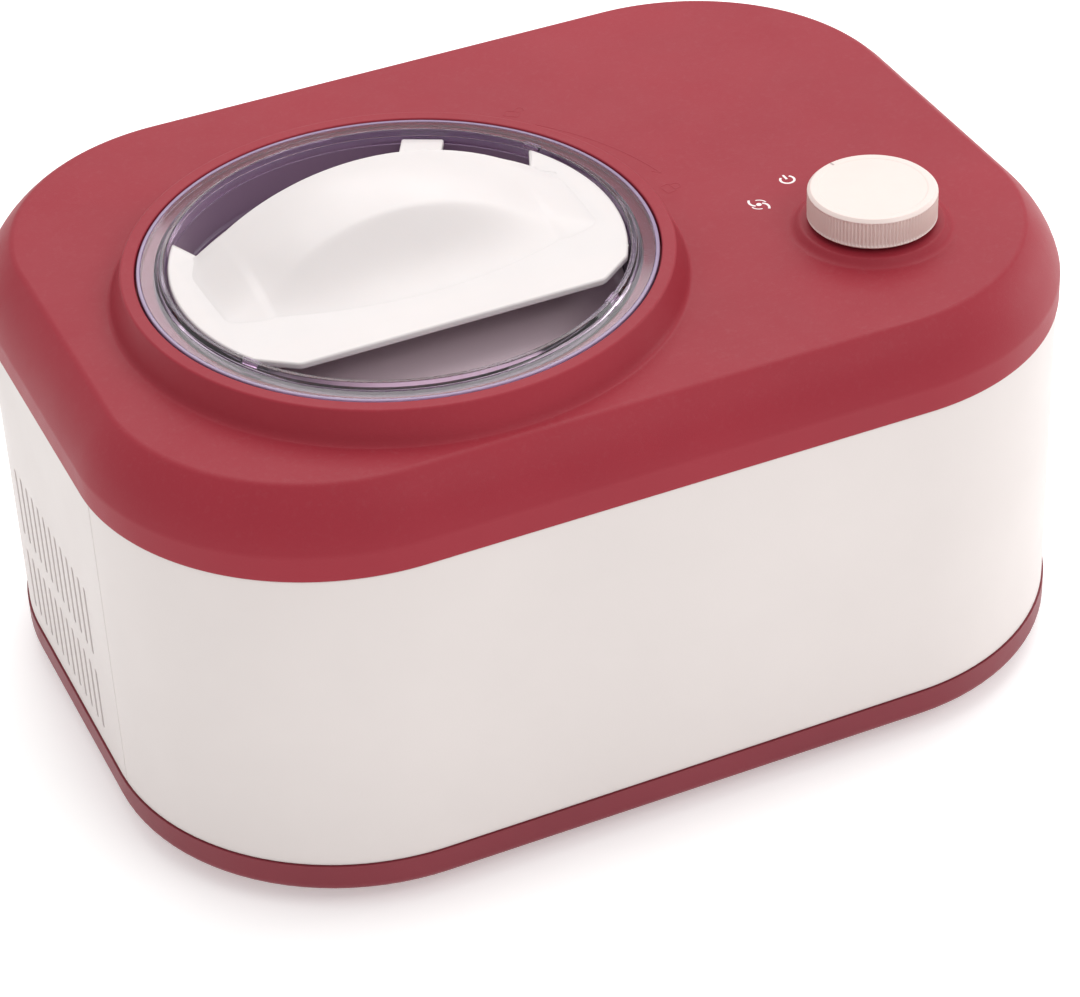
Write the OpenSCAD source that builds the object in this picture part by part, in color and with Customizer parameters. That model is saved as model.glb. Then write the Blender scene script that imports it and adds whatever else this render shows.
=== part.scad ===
// Compressor ice cream maker: a flat appliance with a lidded bowl well on the left and a control knob
// on the right. The origin is on the table under the middle of the body, +Z is up and -Y is the front.

/* [Body] */
// Length of the body along X
body_l = 400; // [390:2:420]
// Depth of the body along Y
body_w = 300; // [298:2:312]
// Plan radius of the body's corners
corner_r = 98; // [95:1:100]
// Height of the rubber feet
foot_h = 8; // [6:1:10]
// Height of the red base band
base_h = 13; // [12:1:14]
// Height of the pale side panels
wall_h = 135; // [134:1:140]
// Height of the upright lip of the top cover
lip_h = 4; // [3:1:6]
// Radius of the top cover's shoulder
shoulder_r = 29; // [27:1:31]
// Wall thickness of the moulded covers
skin = 2.5; // [2:0.5:3]

/* [Bowl well] */
// Well centre along X
well_x = -57; // [-58:1:-56]
// Well centre along Y
well_y = -20; // [-21:0.5:-19]
// Inside radius of the bowl
bowl_r = 82; // [80:0.5:82]
// Outer radius of the lid
lid_r = 99.5; // [99:0.5:100]
// Height of the collar above the deck
collar_h = 12.5; // [12:0.5:13]

/* [Controls] */
// Knob centre along X
knob_x = 120; // [118:0.5:122]
// Knob centre along Y
knob_y = -70; // [-71:0.5:-68]
// Knob radius
knob_r = 25.2; // [24:0.1:26]
// Knob height
knob_h = 13; // [12:0.5:14]
// Grip ribs round the knob
knob_ribs = 96; // [72:12:108]

/* [Vents] */
// Slots in each row of a side vent
vent_slots = 13; // [9:1:13]
// Spacing of the slots
vent_pitch = 7.25; // [7:0.25:8]
// Width of a slot
vent_w = 2.4; // [2:0.2:3]

/* [Drive] */
// Gear module
gear_m = 1.5; // [1.5]
// Teeth on the output gear
output_teeth = 84; // [84]
// Teeth on the idler's small gear
idler_small_teeth = 12; // [12]
// Teeth on the idler's large gear
idler_large_teeth = 66; // [66]
// Teeth on the motor pinion
pinion_teeth = 14; // [14]
// Radius of the drive shaft
shaft_r = 5; // [5]

/* [Hidden] */
$fn = 96;

red = [0.66, 0.27, 0.31];
cream = [0.93, 0.89, 0.87];
clear = [0.80, 0.76, 0.84, 0.35];
steel = [0.72, 0.72, 0.74];
dark = [0.13, 0.13, 0.14];
copper = [0.76, 0.45, 0.30];
foam = [0.93, 0.88, 0.72];

eps = 0.01;
base_z = foot_h;
floor_t = 3;
floor_z = base_z + floor_t;
wall_z = base_z + base_h;
seam_z = wall_z + wall_h;
deck_z = seam_z + lip_h + shoulder_r;
base_fillet = 4;
panel_inset = 0.8;
panel_gap = 0.3;
panel_front_y = -58;
panel_rear_y = 84;
post_x = 158;
post_y = 112;
post_r = 6;
post_top = seam_z + lip_h + 16;

vent_rows = [[30.5, 59.5], [67.5, 99.5]];
vent_y = -33;

collar_z = deck_z + collar_h;
collar_r = lid_r + 6;
collar_slope = 5;
ledge_z = collar_z - 5;
ledge_r = 93;
throat_z = deck_z - 11;

can_r = bowl_r + 1.6;
can_t = 1.4;
can_z = 44.5;
can_top = throat_z - 2;
bowl_t = 1.2;
bowl_z = can_z + 3;
bowl_rim_z = throat_z - 0.4;
jacket_r = 106;
coil_r = 87.5;
coil_tube_r = 3;
coil_turns = 8;
coil_pitch = 13;
coil_z = 56;

drive_dir = -32;
idler_dist = gear_m * (output_teeth + idler_small_teeth) / 2;
motor_dist = idler_dist + gear_m * (idler_large_teeth + pinion_teeth) / 2;
gear_z = floor_z + 4;
large_gear_t = 6;
output_gear_z = gear_z + large_gear_t + 1;
output_gear_t = 8;
case_top = floor_z + 20;
gear_cover_top = case_top + 3;
bush_r = 9;
running = 0.05;
shaft_top = 96;
motor_r = 24;

comp_x = 100;
comp_y = 85;
comp_r = 44;
comp_top = floor_z + 107;
fan_x = 152;
fan_z = 70;
fan_r = 44;
cond_x = 172;
cond_l = 114;
cond_h = 104;

knob_z = deck_z + 4.5;

// ---- shared shapes ----

module rounded_plan(l, w, r) {
    square([l - 2 * r, w], center = true);
    square([l, w - 2 * r], center = true);
    for (sx = [-1, 1], sy = [-1, 1])
        translate([sx * (l / 2 - r), sy * (w / 2 - r)]) circle(r);
}

// Sweeps a section (u outward from the corner's axis, v up) round the whole body plan.
module round_the_body() {
    straight_x = body_l - 2 * corner_r;
    straight_y = body_w - 2 * corner_r;
    for (mx = [0, 1], my = [0, 1]) mirror([mx, 0, 0]) mirror([0, my, 0])
        translate([straight_x / 2, straight_y / 2, 0]) rotate_extrude(angle = 90) children();
    for (my = [0, 1]) mirror([0, my, 0])
        translate([-straight_x / 2, straight_y / 2, 0]) rotate([90, 0, 90])
            linear_extrude(straight_x) children();
    for (mx = [0, 1]) mirror([mx, 0, 0])
        translate([straight_x / 2, straight_y / 2, 0]) rotate([90, 0, 0])
            linear_extrude(straight_y) children();
}

module middle_plate(z, t) {
    translate([corner_r - body_l / 2, corner_r - body_w / 2, z])
        cube([body_l - 2 * corner_r, body_w - 2 * corner_r, t]);
}

module at_well(z = 0) {
    translate([well_x, well_y, z]) children();
}

module at_knob(z = 0) {
    translate([knob_x, knob_y, z]) children();
}

module along_drive(d, z = 0) {
    at_well(z) rotate(drive_dir) translate([d, 0, 0]) children();
}

module ring(r_out, r_in, h) {
    difference() {
        cylinder(h = h, r = r_out);
        translate([0, 0, -1]) cylinder(h = h + 2, r = r_in);
    }
}

module at_posts(z = 0) {
    for (sx = [-1, 1], sy = [-1, 1]) translate([sx * post_x, sy * post_y, z]) children();
}

module quarter_disc(r) {
    intersection() {
        circle(r);
        square(r);
    }
}

// ---- casing ----

module cover_section() {
    flat = corner_r - shoulder_r;
    arc_z = seam_z + lip_h;
    difference() {
        union() {
            translate([0, seam_z]) square([corner_r, lip_h]);
            translate([0, arc_z]) square([flat, shoulder_r]);
            translate([flat, arc_z]) quarter_disc(shoulder_r);
        }
        translate([0, seam_z]) square([corner_r - skin, lip_h]);
        translate([0, arc_z]) square([flat, shoulder_r - skin]);
        translate([flat, arc_z]) quarter_disc(shoulder_r - skin);
    }
}

// Collar, ledge and throat that the lid sits in.
module collar_section() {
    foot_r = collar_r + collar_slope;
    inner = lid_r + 0.6;
    polygon([[ledge_r, throat_z], [ledge_r + 2.5, throat_z], [ledge_r + 2.5, deck_z - skin],
        [foot_r, deck_z - skin], [foot_r, deck_z], [collar_r, collar_z], [inner, collar_z],
        [inner, ledge_z], [ledge_r, ledge_z]]);
}

module top_cover() {
    boss_r = knob_r + 4.5;
    color(red) {
        difference() {
            union() {
                round_the_body() cover_section();
                middle_plate(deck_z - skin, skin);
            }
            at_well(deck_z - skin - 1) cylinder(h = skin + 2, r = lid_r + 4);
            at_knob(deck_z - skin - 1) cylinder(h = skin + 2, r = 6.5);
        }
        at_well() rotate_extrude() collar_section();
        at_knob() rotate_extrude()
            polygon([[6.5, deck_z], [boss_r, deck_z], [boss_r - 2, deck_z + 3], [6.5, deck_z + 3]]);
    }
}

module wall_plan() {
    difference() {
        rounded_plan(body_l - 2 * panel_inset, body_w - 2 * panel_inset, corner_r - panel_inset);
        rounded_plan(body_l - 2 * (panel_inset + skin), body_w - 2 * (panel_inset + skin),
            corner_r - panel_inset - skin);
    }
}

// The stretch of the wall between two X and two Y limits.
module wall_piece(x0, x1, y0, y1) {
    translate([0, 0, wall_z]) linear_extrude(wall_h) intersection() {
        wall_plan();
        translate([x0, y0]) square([x1 - x0, y1 - y0]);
    }
}

module vent_cut(x) {
    for (row = vent_rows)
        translate([x, 0, 0]) rotate([90, 0, 90]) linear_extrude(20)
            for (i = [0 : vent_slots - 1])
                translate([vent_y + i * vent_pitch - vent_w / 2, row[0]])
                    square([vent_w, row[1] - row[0]]);
}

module front_panel() {
    color(cream) wall_piece(-body_l, body_l, -body_w, panel_front_y - panel_gap / 2);
}

module left_vent_panel() {
    color(cream) difference() {
        wall_piece(-body_l, 0, panel_front_y + panel_gap / 2, panel_rear_y - panel_gap / 2);
        vent_cut(-body_l / 2 - 5);
    }
}

module right_vent_panel() {
    color(cream) difference() {
        wall_piece(0, body_l, panel_front_y + panel_gap / 2, panel_rear_y - panel_gap / 2);
        vent_cut(body_l / 2 - 15);
    }
}

gland_x = 88;
gland_z = 40;
gland_r = 7;

module rear_panel() {
    color(cream) difference() {
        wall_piece(-body_l, body_l, panel_rear_y + panel_gap / 2, body_w);
        translate([gland_x, body_w / 2 - 20, gland_z]) rotate([-90, 0, 0]) cylinder(h = 30, r = gland_r);
    }
}

module base_section() {
    difference() {
        union() {
            translate([0, base_z]) square([corner_r - base_fillet, base_h]);
            translate([0, base_z + base_fillet]) square([corner_r, base_h - base_fillet]);
            translate([corner_r - base_fillet, base_z + base_fillet]) mirror([0, 1])
                quarter_disc(base_fillet);
        }
        translate([0, floor_z]) square([corner_r - base_fillet - 1, base_h]);
    }
}

module base_tray() {
    color(red) difference() {
        union() {
            round_the_body() base_section();
            middle_plate(base_z, floor_t);
            at_posts(floor_z - eps) cylinder(h = post_top - floor_z + eps, r = post_r);
        }
        at_posts(base_z - 1) cylinder(h = 5, r = 4.2);
        at_posts(base_z + 3) cylinder(h = 24, r = 1.7);
        for (i = [-4 : 2]) translate([comp_x + i * 9 - 2, comp_y - 30, base_z - 1])
            cube([4, 56, floor_t + 2]);
    }
}

module rubber_feet() {
    color(dark) for (sx = [-1, 1], sy = [-1, 1])
        translate([sx * 140, sy * 95, 0]) cylinder(h = foot_h, r = 12);
}

module base_screws() {
    color(steel) at_posts() {
        translate([0, 0, base_z + 1]) cylinder(h = 3, r = 3.8);
        translate([0, 0, base_z + 4]) cylinder(h = 20, r = 1.7);
    }
}

// ---- lid ----

lid_under_z = ledge_z + 0.2;
lid_flange_z = collar_z + 0.1;
ring_z = lid_flange_z + 1.6;
skirt_r = 90;
lid_floor_z = ring_z - 20;
handle_z = ring_z - 1;
handle_r = 87.4;
grip_top = ring_z + 21.3;
grip_back_y = 32;

// Flange, raised ring and the deep dished floor; the gasket sits round the outside of the dish.
module clear_lid() {
    color(clear) at_well() rotate_extrude()
        polygon([[0, lid_floor_z - 2.5], [skirt_r - 1, lid_floor_z - 2.5], [skirt_r, lid_floor_z - 1.5],
            [skirt_r, lid_under_z], [lid_r, lid_under_z], [lid_r, lid_flange_z],
            [skirt_r + 1, lid_flange_z], [skirt_r + 0.5, ring_z], [skirt_r - 1.5, ring_z],
            [skirt_r - 2.5, lid_floor_z], [0, lid_floor_z]]);
}

// Flat bridge across the dish with cut-off corners.
module handle_plate_plan() {
    intersection() {
        circle(handle_r);
        polygon([[-61, -55], [61, -55], [84, -38], [92, 0], [80, 50], [69, grip_back_y],
            [-69, grip_back_y], [-80, 50], [-92, 0], [-84, -38]]);
    }
}

// Section of the grip, front to back: scoop for the fingers, broad top and steep back.
module grip_section() {
    scoop_r = 40;
    scoop_y = -38;
    top_r = 90;
    difference() {
        intersection() {
            translate([scoop_y, handle_z - 1]) square([grip_back_y - scoop_y, grip_top - handle_z + 1]);
            translate([15, grip_top - top_r]) circle(top_r);
        }
        translate([scoop_y, handle_z + scoop_r]) circle(scoop_r);
    }
}

// Bridge plate, the feet that hold it up, the arched grip along its back, the wall below the
// grip's back edge and a low tab from that wall to the ring.
module lid_handle() {
    plate_t = 3;
    arch_half = 68;
    arch_h = grip_top - handle_z;
    arch_r = (arch_half * arch_half + arch_h * arch_h) / (2 * arch_h);
    tab_z = ring_z - 3;
    wall_low = lid_floor_z + 5;
    color(cream) at_well() {
        translate([0, 0, handle_z - plate_t]) linear_extrude(plate_t) handle_plate_plan();
        for (sx = [-1, 1]) translate([sx * 64 - 4, -30, lid_floor_z])
            cube([8, 50, handle_z - lid_floor_z - 1]);
        intersection() {
            translate([-arch_half, 0, 0]) rotate([90, 0, 90]) linear_extrude(2 * arch_half) grip_section();
            translate([0, 60, grip_top - arch_r]) rotate([90, 0, 0]) cylinder(h = 120, r = arch_r);
        }
        translate([-60, grip_back_y - 3, wall_low]) cube([120, 3, handle_z - wall_low - 1]);
        rotate(-29) translate([-8.5, 24, tab_z - plate_t]) cube([17, handle_r - 24.5, plate_t]);
    }
}

module lid_gasket() {
    color(dark) at_well(ledge_z - 8.5) ring(ledge_r - 0.4, skirt_r + 0.3, 4);
}

// ---- bowl and paddle ----

bowl_tube_top = bowl_z + 30;

module mixing_bowl() {
    outer = bowl_r + bowl_t;
    color(steel) at_well() rotate_extrude()
        polygon([[6, bowl_z], [outer, bowl_z], [outer, bowl_rim_z - 1.5], [90.5, bowl_rim_z - 1.5],
            [90.5, bowl_rim_z], [bowl_r, bowl_rim_z], [bowl_r, bowl_z + 1.6], [9.5, bowl_z + 1.6],
            [9.5, bowl_tube_top], [6, bowl_tube_top]]);
}

module paddle() {
    hub_z = bowl_z + 3;
    hub_top = 118;
    blade_r = bowl_r - 2;
    color(cream) at_well() {
        difference() {
            translate([0, 0, hub_z]) cylinder(h = hub_top - hub_z, r = 14);
            translate([0, 0, hub_z - 1]) cylinder(h = bowl_tube_top + 2 - hub_z + 1, r = 10.5);
            cylinder(h = shaft_top + 1, r = shaft_r + running);
        }
        for (side = [0, 180]) rotate(side) {
            translate([12, -3, hub_z]) cube([blade_r - 12, 6, 9]);
            translate([12, -3, hub_top - 12]) cube([blade_r - 12, 6, 9]);
            translate([blade_r - 12, -3, hub_z]) cube([12, 6, 108]);
            translate([34, -2.5, hub_z + 2]) rotate([0, 14, 0]) cube([7, 5, 56]);
        }
    }
}

// ---- drive train ----

// Straight-sided tooth outline; each tooth spans four points worked out from the pitch angle.
function gear_points(teeth) =
    let (rp = gear_m * teeth / 2, tip = rp + 0.8 * gear_m, root = rp - 1.1 * gear_m, step = 360 / teeth)
    [for (i = [0 : teeth - 1]) for (k = [[-0.30, root], [-0.13, tip], [0.13, tip], [0.30, root]])
        let (a = (i + k[0]) * step) [k[1] * cos(a), k[1] * sin(a)]];

module spur(teeth, t) {
    linear_extrude(t) polygon(gear_points(teeth));
}

module drive_shaft() {
    color(steel) at_well(floor_z + 3.2) cylinder(h = shaft_top - floor_z - 3.2, r = shaft_r);
}

module output_gear() {
    color(cream) at_well(output_gear_z) rotate(drive_dir) difference() {
        spur(output_teeth, output_gear_t);
        translate([0, 0, -1]) cylinder(h = output_gear_t + 2, r = shaft_r);
        for (a = [30 : 60 : 330]) rotate(a) translate([36, 0, -1]) cylinder(h = output_gear_t + 2, r = 13);
    }
}

// The idler's small gear meets the output gear with a gap, its large gear meets the pinion with a tooth.
module idler_gear() {
    small_t = output_gear_t + large_gear_t + 0.5;
    color(cream) along_drive(idler_dist, gear_z) difference() {
        union() {
            spur(idler_large_teeth, large_gear_t);
            translate([0, 0, 1]) rotate(180 / idler_small_teeth + 180) spur(idler_small_teeth, small_t);
        }
        translate([0, 0, -1]) cylinder(h = small_t + 4, r = 3 + running);
    }
}

module idler_pin() {
    color(steel) along_drive(idler_dist, floor_z + 3) cylinder(h = case_top - floor_z - 3, r = 3);
}

module motor_pinion() {
    color(steel) along_drive(motor_dist) {
        translate([0, 0, gear_z - 0.5]) rotate(180 + 180 / pinion_teeth)
            spur(pinion_teeth, large_gear_t + 0.8);
        translate([0, 0, gear_z]) cylinder(h = case_top + 5.5 - gear_z, r = 2);
    }
}

module gear_motor() {
    color(steel) along_drive(motor_dist, gear_cover_top) difference() {
        union() {
            cylinder(h = 62, r = motor_r);
            translate([0, 0, 62]) cylinder(h = 5, r = 9);
        }
        translate([0, 0, -1]) cylinder(h = 6, r = 3);
    }
}

module case_plan(extra) {
    circle(68 + extra);
    rotate(drive_dir) translate([idler_dist, 0]) circle(56 + extra);
    rotate(drive_dir) translate([motor_dist, 0]) circle(29 + extra);
}

module gearbox_case() {
    color(dark) at_well() {
        translate([0, 0, floor_z]) linear_extrude(3) case_plan(0);
        translate([0, 0, floor_z + 3 - eps]) linear_extrude(case_top - floor_z - 3 + eps) difference() {
            case_plan(0);
            case_plan(-2.5);
        }
    }
}

module gearbox_cover() {
    color(dark) difference() {
        at_well(case_top) linear_extrude(3) case_plan(0);
        at_well(case_top - 1) cylinder(h = 5, r = bush_r);
        along_drive(motor_dist, case_top - 1) cylinder(h = 5, r = 3);
        at_cover_screws(case_top - 1) cylinder(h = 5, r = 1.5);
    }
}

module at_cover_screws(z) {
    for (a = [75, 165, 255]) at_well(z) rotate(drive_dir + a) translate([60, 0, 0]) children();
    along_drive(motor_dist - 2, z) for (s = [-1, 1]) translate([0, s * 26.5 , 0]) children();
}

module gearbox_screws() {
    color(steel) at_cover_screws(gear_cover_top) {
        cylinder(h = 1.2, r = 2.6);
        translate([0, 0, -2.8]) cylinder(h = 2.8, r = 1.5);
    }
}

module shaft_bush() {
    color(copper) at_well(case_top + 0.2) ring(bush_r, shaft_r + running, can_z - case_top + 1);
}

module shaft_seal() {
    color(dark) at_well(can_z + can_t) ring(bush_r, shaft_r + running, 1.2);
}

// ---- refrigeration ----

module cooling_can() {
    color(steel) at_well() rotate_extrude()
        polygon([[bush_r + 0.02, can_z], [can_r + can_t, can_z], [can_r + can_t, can_top - 1.4],
            [96, can_top - 1.4], [96, can_top], [can_r, can_top], [can_r, can_z + can_t], [bush_r + 0.02, can_z + can_t]]);
}

module evaporator_coil() {
    mid_r = can_r + can_t + coil_tube_r + 0.3;
    color(copper) at_well() {
        for (i = [0 : coil_turns - 1]) translate([0, 0, coil_z + i * coil_pitch])
            rotate_extrude() translate([mid_r, 0]) circle(coil_tube_r, $fn = 32);
        rotate(40) translate([mid_r, 0, coil_z]) cylinder(h = (coil_turns - 1) * coil_pitch, r = 2.2);
    }
}

module insulation_jacket() {
    inner = can_r + can_t + 2 * coil_tube_r + 1;
    color(foam) at_well() rotate_extrude()
        polygon([[bush_r + 3, can_z - 8], [jacket_r, can_z - 8], [jacket_r, can_top - 3],
            [inner, can_top - 3], [inner, can_z - 1], [bush_r + 3, can_z - 1]]);
}

module at_comp_feet(z = 0) {
    for (a = [45, 135, 225, 315]) translate([comp_x, comp_y, z]) rotate(a) translate([47, 0, 0]) children();
}

module compressor() {
    comp_z = floor_z + 12;
    color(dark) difference() {
        union() {
            translate([comp_x, comp_y, comp_z]) rotate_extrude()
                polygon([[0, 0], [30, 0], [comp_r - 3, 8], [comp_r - 3, 44], [comp_r, 46], [comp_r, 50],
                    [comp_r - 3, 52], [comp_r - 3, 84], [30, 95], [0, 95]]);
            translate([comp_x, comp_y, comp_z]) for (a = [45, 135]) rotate(a)
                translate([-53, -10, 0]) cube([106, 20, 2.5]);
        }
        at_comp_feet(comp_z - 1) cylinder(h = 5, r = 4);
    }
}

module compressor_grommets() {
    color("black") at_comp_feet(floor_z) difference() {
        union() {
            cylinder(h = 12, r = 7);
            cylinder(h = 14.5, r = 4);
        }
        translate([0, 0, -1]) cylinder(h = 20, r = 2);
    }
}

module compressor_bolts() {
    color(steel) at_comp_feet(floor_z) {
        cylinder(h = 16, r = 2);
        translate([0, 0, 14.5]) cylinder(h = 4, r = 5, $fn = 6);
    }
}

module start_relay() {
    color("black") translate([comp_x + 8, comp_y - comp_r - 16, floor_z + 48]) cube([26, 14.5, 30]);
}

// A pipe through square corners, each with a block elbow a little wider than the pipe.
module pipe_run(points, r) {
    for (i = [0 : len(points) - 2]) pipe_leg(points[i], points[i + 1], r);
    for (i = [1 : len(points) - 2]) translate(points[i]) cube(2 * r + 1.6, center = true);
}

// One leg of a pipe that runs along a single axis.
module pipe_leg(a, b, r) {
    d = b - a;
    turn = d[0] != 0 ? [0, 90, 0] : (d[1] != 0 ? [-90, 0, 0] : [0, 0, 0]);
    low = [min(a[0], b[0]), min(a[1], b[1]), min(a[2], b[2])];
    translate(low) rotate(turn) cylinder(h = norm(d), r = r, $fn = 32);
}

module refrigerant_pipes() {
    top = floor_z + 112;
    color(copper) {
        pipe_run([[comp_x + 20, comp_y, comp_top], [comp_x + 20, comp_y, top], [182, comp_y, top],
            [182, 60, top], [182, 60, 110]], 2.5);
        pipe_run([[comp_x - 20, comp_y, comp_top], [comp_x - 20, comp_y, top + 14],
            [comp_x - 20, 0, top + 14], [49, 0, top + 14]], 3);
    }
}

module filter_drier() {
    color(copper) translate([30, 110, floor_z + 20]) {
        cylinder(h = 62, r = 9);
        translate([0, 0, 62]) cylinder(h = 8, r1 = 9, r2 = 3);
        translate([0, 0, 70]) cylinder(h = 12, r = 2);
    }
}

module condenser_fins() {
    fins = 26;
    step = (cond_l - 1) / (fins - 1);
    color(steel) difference() {
        for (i = [0 : fins - 1])
            translate([cond_x, -cond_l / 2 + i * step, floor_z + 2]) cube([20, 1, cond_h]);
        at_condenser_rows() cylinder(h = cond_l + 4, r = 3);
    }
}

module at_condenser_rows() {
    for (x = [cond_x + 5, cond_x + 15], k = [0 : 4])
        translate([x, -cond_l / 2 - 2, floor_z + 14 + k * 20]) rotate([-90, 0, 0]) children();
}

module condenser_tubes() {
    color(copper) {
        at_condenser_rows() cylinder(h = cond_l + 4, r = 3);
        for (y = [-cond_l / 2 - 4, cond_l / 2 + 1], k = [0 : 4])
            translate([cond_x + 2, y, floor_z + 11 + k * 20]) cube([16, 3, 6]);
    }
}

module fan_shroud() {
    half = 50;
    color(dark) difference() {
        translate([fan_x, -half, fan_z - half]) cube([16, 2 * half, 2 * half]);
        translate([fan_x + 3, 0, fan_z]) rotate([0, 90, 0]) cylinder(h = 20, r = fan_r + 2);
        difference() {
            translate([fan_x - 1, 0, fan_z]) rotate([0, 90, 0]) cylinder(h = 20, r = fan_r + 2);
            translate([fan_x - 1, 0, fan_z]) rotate([0, 90, 0]) cylinder(h = 20, r = 18);
            for (a = [0, 90]) rotate([a, 0, 0]) fan_strut(a, half);
        }
        translate([fan_x - 1, 0, fan_z]) rotate([0, 90, 0]) cylinder(h = 6, r = 2.2);
    }
}

module fan_strut(a, half) {
    rotate([-a, 0, 0]) translate([fan_x - 1, a == 0 ? -3 : -half, a == 0 ? fan_z - half : fan_z - 3])
        cube([4, a == 0 ? 6 : 2 * half, a == 0 ? 2 * half : 6]);
}

module fan_motor() {
    color("black") translate([fan_x - 20, 0, fan_z]) rotate([0, 90, 0]) {
        cylinder(h = 20, r = 17);
        cylinder(h = 34, r = 2);
    }
}

module fan_rotor() {
    color("black") translate([fan_x + 5, 0, fan_z]) rotate([0, 90, 0]) {
        ring(15, 2.05, 10);
        for (a = [0 : 60 : 300]) rotate(a) translate([13, -1, 5]) rotate([28, 0, 0])
            translate([0, -9, -0.8]) cube([fan_r - 14, 18, 1.6]);
    }
}

// ---- controls ----

module control_knob() {
    color(cream) at_knob(knob_z) difference() {
        union() {
            cylinder(h = knob_h - 2, r = knob_r - 0.5);
            translate([0, 0, knob_h - 2]) rotate_extrude()
                polygon([[0, 0], [knob_r - 0.5, 0], [knob_r - 1.8, 2], [knob_r - 6, 1.6], [0, 1.2]]);
            for (i = [0 : knob_ribs - 1]) rotate(i * 360 / knob_ribs)
                translate([knob_r - 1, -0.4, 0.8]) cube([1, 0.8, knob_h - 3.4]);
        }
        translate([0, 0, -1]) cylinder(h = 9, r = 3);
        translate([0, 0, -1]) ring(knob_r - 3, 6, 8);
    }
}

module knob_shaft() {
    color(steel) at_knob(deck_z - 22) cylinder(h = knob_z + 8 - deck_z + 22, r = 3);
}

module rotary_switch() {
    color(dark) at_knob() difference() {
        union() {
            translate([0, 0, deck_z - skin - 6]) cylinder(h = 6, r = 9);
            translate([-16, -16, deck_z - skin - 30]) cube([32, 32, 24]);
            for (i = [-1, 1]) translate([i * 8 - 1.5, -24, deck_z - skin - 22]) cube([3, 8, 0.8]);
        }
        translate([0, 0, deck_z - 23]) cylinder(h = 30, r = 3 + running);
    }
}

board_y = -body_w / 2 + 15;
board_x = 4;
board_z = 104;
board_holes = [[5, 5], [91, 5], [5, 41], [91, 41]];

module control_board() {
    color([0.15, 0.40, 0.22]) difference() {
        translate([board_x, board_y, board_z]) cube([96, 1.6, 46]);
        at_board_holes(board_y - 1) cylinder(h = 5, r = 1.8);
    }
}

module at_board_holes(y) {
    for (hole = board_holes) translate([board_x + hole[0], y, board_z + hole[1]])
        rotate([-90, 0, 0]) children();
}

module board_components() {
    color("black") {
        translate([board_x + 9, board_y + 1.6, board_z + 12]) cube([20, 12, 16]);
        translate([board_x + 35, board_y + 1.6, board_z + 8]) cube([26, 16, 24]);
        for (i = [0 : 2]) translate([board_x + 69 + i * 8, board_y + 1.6, board_z + 22])
            rotate([-90, 0, 0]) cylinder(h = 14, r = 3.4);
    }
}

module board_standoffs() {
    wall_in = -body_w / 2 + panel_inset + skin;
    color(steel) at_board_holes(wall_in) {
        cylinder(h = board_y - wall_in, r = 3);
        cylinder(h = board_y - wall_in + 3, r = 1.8);
    }
}

module terminal_block() {
    color([0.85, 0.85, 0.82]) translate([20, 126, floor_z]) difference() {
        cube([36, 14, 12]);
        for (i = [0 : 2]) translate([8 + i * 10, 7, 4]) cylinder(h = 10, r = 2.5);
    }
}

module cord_gland() {
    inside = body_w / 2 - panel_inset - skin;
    color(dark) translate([gland_x, inside, gland_z]) rotate([-90, 0, 0]) difference() {
        union() {
            translate([0, 0, -3]) cylinder(h = 3, r = gland_r + 2);
            cylinder(h = skin, r = gland_r);
            translate([0, 0, skin]) cylinder(h = panel_inset, r = gland_r);
        }
        translate([0, 0, -4]) cylinder(h = skin + panel_inset + 6, r = 3.8);
    }
}

top_cover();
front_panel();
left_vent_panel();
right_vent_panel();
rear_panel();
base_tray();
rubber_feet();
base_screws();
clear_lid();
lid_handle();
lid_gasket();
mixing_bowl();
paddle();
drive_shaft();
output_gear();
idler_gear();
idler_pin();
motor_pinion();
gear_motor();
gearbox_case();
gearbox_cover();
gearbox_screws();
shaft_bush();
shaft_seal();
cooling_can();
evaporator_coil();
insulation_jacket();
compressor();
compressor_grommets();
compressor_bolts();
start_relay();
refrigerant_pipes();
filter_drier();
condenser_fins();
condenser_tubes();
fan_shroud();
fan_motor();
fan_rotor();
control_knob();
knob_shaft();
rotary_switch();
control_board();
board_components();
board_standoffs();
terminal_block();
cord_gland();
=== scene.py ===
"""Looks of the compressor ice cream maker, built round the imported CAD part.

Lengths are in mm up to make_mesh, which turns them into metres. Materials, lights, the floor and the
camera are in metres.
"""
import math

import bmesh
import bpy
import numpy as np
from mathutils import Matrix, Vector
from mathutils.geometry import tessellate_polygon


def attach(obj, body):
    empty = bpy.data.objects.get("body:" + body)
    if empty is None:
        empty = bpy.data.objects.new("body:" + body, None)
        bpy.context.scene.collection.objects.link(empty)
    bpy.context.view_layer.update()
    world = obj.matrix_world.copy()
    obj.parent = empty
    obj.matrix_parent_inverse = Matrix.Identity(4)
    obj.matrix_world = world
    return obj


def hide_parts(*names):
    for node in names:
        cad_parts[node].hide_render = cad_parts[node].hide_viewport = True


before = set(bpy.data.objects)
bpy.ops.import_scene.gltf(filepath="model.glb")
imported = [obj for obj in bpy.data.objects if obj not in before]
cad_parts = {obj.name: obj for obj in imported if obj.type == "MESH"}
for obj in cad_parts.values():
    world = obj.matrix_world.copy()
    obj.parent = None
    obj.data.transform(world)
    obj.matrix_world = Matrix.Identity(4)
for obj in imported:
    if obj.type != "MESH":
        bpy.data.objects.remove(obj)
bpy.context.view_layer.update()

# ---- driving sizes; the body, well, collar, lid and knob are where part.scad has them ----
BODY_L, BODY_W, CORNER_R = 400.0, 300.0, 98.0
WALL_Z, SEAM_Z, DECK_Z = 21.0, 156.0, 189.0
LIP_Z, SHOULDER_IN = 167.0, 14.5  # top of the upright lip; how far in the shoulder meets the deck
WELL = (-57.0, -20.0)
COLLAR_Z, COLLAR_R, COLLAR_FOOT_R = 201.5, 105.5, 110.5
LID_UNDER_Z, LID_RIM_Z, RING_Z = 196.8, 201.1, 203.2
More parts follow.
